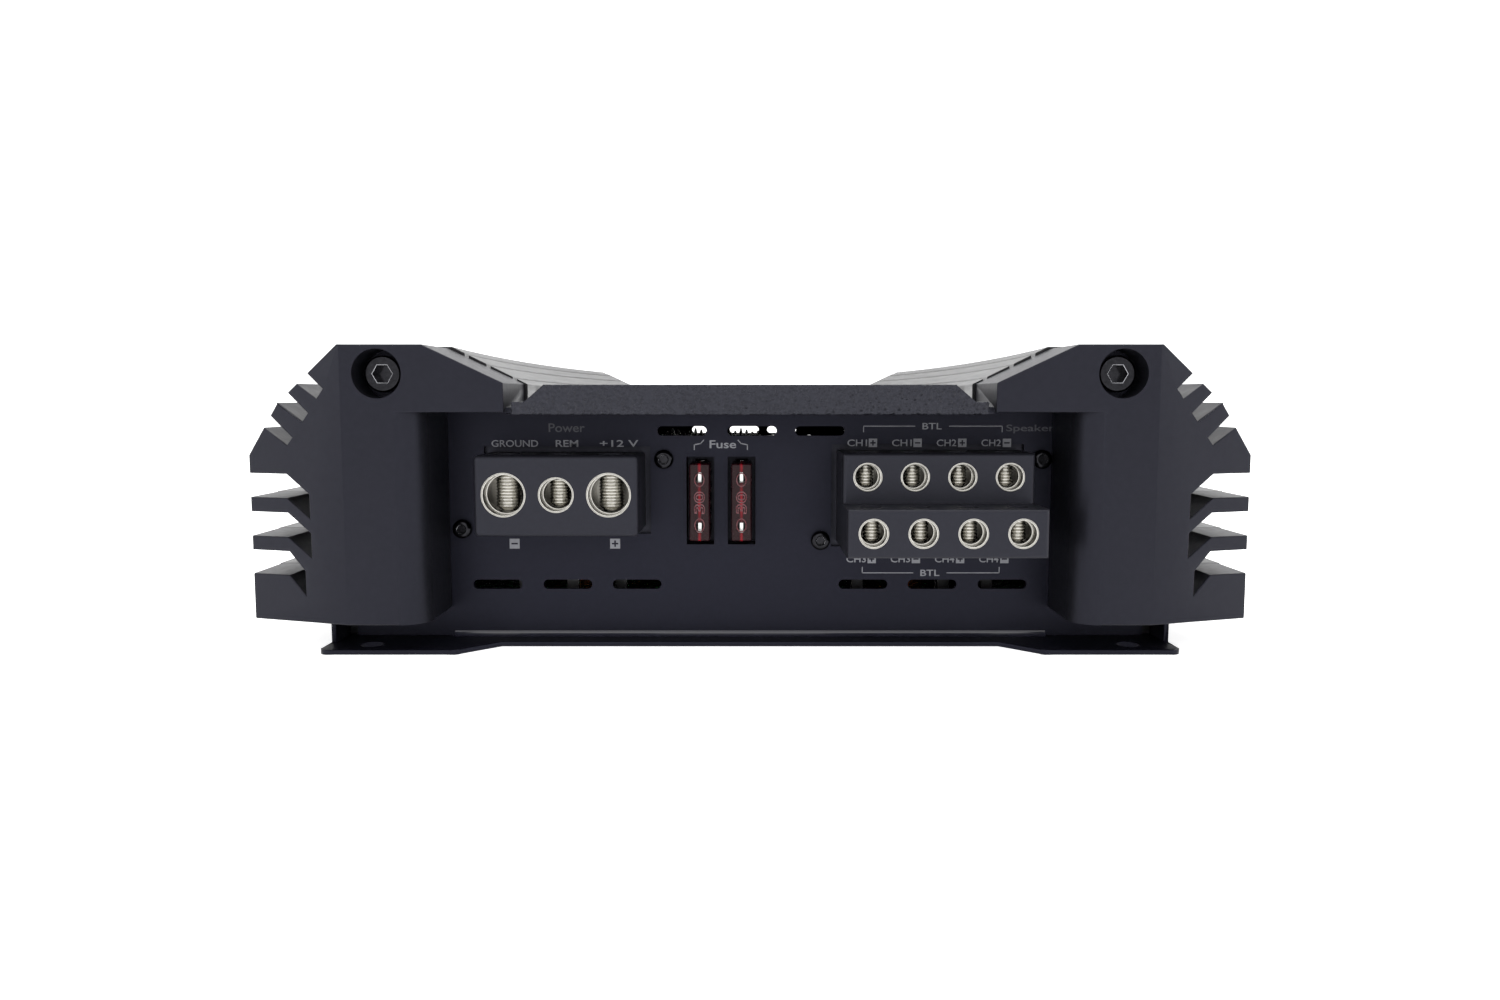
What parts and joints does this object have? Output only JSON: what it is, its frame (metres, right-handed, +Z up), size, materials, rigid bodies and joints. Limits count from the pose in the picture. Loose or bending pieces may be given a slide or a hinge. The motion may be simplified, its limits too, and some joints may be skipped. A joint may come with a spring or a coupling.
{
  "type": "car amplifier",
  "caption": "Car audio power amplifier: finned black heatsink body with cast end caps, valley top plate, power, fuse and speaker terminals, signal jacks and controls.",
  "frame": {"origin": "centre of the tray's underside, midway between the two end caps", "axes": "+X across the amplifier, +Y along it from the power terminals to the signal jacks, +Z up"},
  "size_m": [0.2374, 0.3382, 0.0736],
  "materials": {
    "black_anodised_aluminium": "satin black anodised, drawn lines along its length",
    "satin_black_paint": "satin black paint on a cast frame",
    "wrinkle_black_paint": "fine wrinkle black paint",
    "black_powder_coat": "smooth satin black powder coat on steel",
    "black_oxide_steel": "oiled black oxide",
    "zinc_steel": "bright zinc plate",
    "nickel_brass": "nickel plate over brass",
    "black_nylon": "moulded satin nylon",
    "set_screw_steel": "bright nickel plate",
    "tin_contact": "bright tin plate",
    "fuse_plastic": "clear tinted red",
    "board_laminate": "green solder mask",
    "ferrite": "dark grey ferrite",
    "enamelled_copper": "enamelled copper wire",
    "capacitor_can": "dark sleeve over an aluminium can",
    "moulded_epoxy": "matt black moulding",
    "silicone_pad": "grey silicone",
    "plain_aluminium": "mill finish",
    "control_body": "matt black moulding",
    "knob_plastic": "satin black moulding",
    "led_epoxy": "tinted clear epoxy"
  },
  "bodies": {
    "amplifier": {"base_screws": "black_oxide_steel", "base_tray": "black_powder_coat", "board_screws": "zinc_steel", "board_standoffs": "nickel_brass", "bulk_capacitors": "capacitor_can", "circuit_board": "board_laminate", "clamp_bars": "plain_aluminium", "clamp_screws": "zinc_steel", "control_pots": "control_body", "driver_board": "board_laminate", "driver_header": "tin_contact", "front_cap_screws": "black_oxide_steel", "front_end_cap": "satin_black_paint", "front_panel": "black_powder_coat", "fuse_clips": "tin_contact", "fuse_holder": "black_nylon", "heatsink": "black_anodised_aluminium", "output_inductors": "enamelled_copper", "panel_screws": "black_oxide_steel", "power_block_screws": "black_oxide_steel", "power_terminal_block": "black_nylon", "power_terminal_inserts": "nickel_brass", "power_transistors": "moulded_epoxy", "rear_cap_screws": "black_oxide_steel", "rear_end_cap": "satin_black_paint", "rear_panel": "black_powder_coat", "signal_jack_housing": "black_nylon", "signal_jack_screw": "black_oxide_steel", "signal_jack_shells": "nickel_brass", "speaker_block_screws": "black_oxide_steel", "speaker_terminal_block": "black_nylon", "speaker_terminal_inserts": "nickel_brass", "status_leds": "led_epoxy", "switch_bodies": "control_body", "thermal_pads": "silicone_pad", "top_plate": "wrinkle_black_paint", "top_plate_screws": "zinc_steel", "toroid_cores": "ferrite", "toroid_windings": "enamelled_copper"},
    "ground_set_screw": {"ground_set_screw": "set_screw_steel"},
    "remote_set_screw": {"remote_set_screw": "set_screw_steel"},
    "positive_set_screw": {"positive_set_screw": "set_screw_steel"},
    "fuse_1": {"fuse_1_body": "fuse_plastic", "fuse_1_blades": "tin_contact"},
    "fuse_2": {"fuse_2_body": "fuse_plastic", "fuse_2_blades": "tin_contact"},
    "speaker_set_screw_1": {"speaker_set_screw_1": "set_screw_steel"},
    "speaker_set_screw_2": {"speaker_set_screw_2": "set_screw_steel"},
    "speaker_set_screw_3": {"speaker_set_screw_3": "set_screw_steel"},
    "speaker_set_screw_4": {"speaker_set_screw_4": "set_screw_steel"},
    "speaker_set_screw_5": {"speaker_set_screw_5": "set_screw_steel"},
    "speaker_set_screw_6": {"speaker_set_screw_6": "set_screw_steel"},
    "speaker_set_screw_7": {"speaker_set_screw_7": "set_screw_steel"},
    "speaker_set_screw_8": {"speaker_set_screw_8": "set_screw_steel"},
    "control_knob_1": {"control_knob_1": "knob_plastic"},
    "control_knob_2": {"control_knob_2": "knob_plastic"},
    "control_knob_3": {"control_knob_3": "knob_plastic"},
    "control_knob_4": {"control_knob_4": "knob_plastic"},
    "switch_lever_1": {"switch_lever_1": "knob_plastic"},
    "switch_lever_2": {"switch_lever_2": "knob_plastic"}
  },
  "joints": [
    {"name": "ground_clamp", "type": "slide", "parent": "amplifier", "child": "ground_set_screw", "axis": [0, 0, 1], "range_m": [0, 0.0093]},
    {"name": "remote_clamp", "type": "slide", "parent": "amplifier", "child": "remote_set_screw", "axis": [0, 0, 1], "range_m": [0, 0.0072]},
    {"name": "positive_clamp", "type": "slide", "parent": "amplifier", "child": "positive_set_screw", "axis": [0, 0, 1], "range_m": [0, 0.0093]},
    {"name": "speaker_clamp_1", "type": "slide", "parent": "amplifier", "child": "speaker_set_screw_1", "axis": [0, 0, 1], "range_m": [0, 0.0056]},
    {"name": "speaker_clamp_2", "type": "slide", "parent": "amplifier", "child": "speaker_set_screw_2", "axis": [0, 0, 1], "range_m": [0, 0.0056]},
    {"name": "speaker_clamp_3", "type": "slide", "parent": "amplifier", "child": "speaker_set_screw_3", "axis": [0, 0, 1], "range_m": [0, 0.0056]},
    {"name": "speaker_clamp_4", "type": "slide", "parent": "amplifier", "child": "speaker_set_screw_4", "axis": [0, 0, 1], "range_m": [0, 0.0056]},
    {"name": "speaker_clamp_5", "type": "slide", "parent": "amplifier", "child": "speaker_set_screw_5", "axis": [0, 0, 1], "range_m": [0, 0.0056]},
    {"name": "speaker_clamp_6", "type": "slide", "parent": "amplifier", "child": "speaker_set_screw_6", "axis": [0, 0, 1], "range_m": [0, 0.0056]},
    {"name": "speaker_clamp_7", "type": "slide", "parent": "amplifier", "child": "speaker_set_screw_7", "axis": [0, 0, 1], "range_m": [0, 0.0056]},
    {"name": "speaker_clamp_8", "type": "slide", "parent": "amplifier", "child": "speaker_set_screw_8", "axis": [0, 0, 1], "range_m": [0, 0.0056]},
    {"name": "fuse_1_pull", "type": "slide", "parent": "amplifier", "child": "fuse_1", "axis": [0, -1, 0], "range_m": [0, 0.022]},
    {"name": "fuse_2_pull", "type": "slide", "parent": "amplifier", "child": "fuse_2", "axis": [0, -1, 0], "range_m": [0, 0.022]},
    {"name": "control_1_turn", "type": "hinge", "parent": "amplifier", "child": "control_knob_1", "pos_m": [0.066, 0.1425, 0.037], "axis": [0, 1, 0], "range_deg": [-150, 150]},
    {"name": "control_2_turn", "type": "hinge", "parent": "amplifier", "child": "control_knob_2", "pos_m": [0.048, 0.1425, 0.037], "axis": [0, 1, 0], "range_deg": [-150, 150]},
    {"name": "control_3_turn", "type": "hinge", "parent": "amplifier", "child": "control_knob_3", "pos_m": [0.03, 0.1425, 0.037], "axis": [0, 1, 0], "range_deg": [-150, 150]},
    {"name": "control_4_turn", "type": "hinge", "parent": "amplifier", "child": "control_knob_4", "pos_m": [0.012, 0.1425, 0.037], "axis": [0, 1, 0], "range_deg": [-150, 150]},
    {"name": "switch_1_slide", "type": "slide", "parent": "amplifier", "child": "switch_lever_1", "axis": [-1, 0, 0], "range_m": [0, 0.004]},
    {"name": "switch_2_slide", "type": "slide", "parent": "amplifier", "child": "switch_lever_2", "axis": [-1, 0, 0], "range_m": [0, 0.004]}
  ]
}
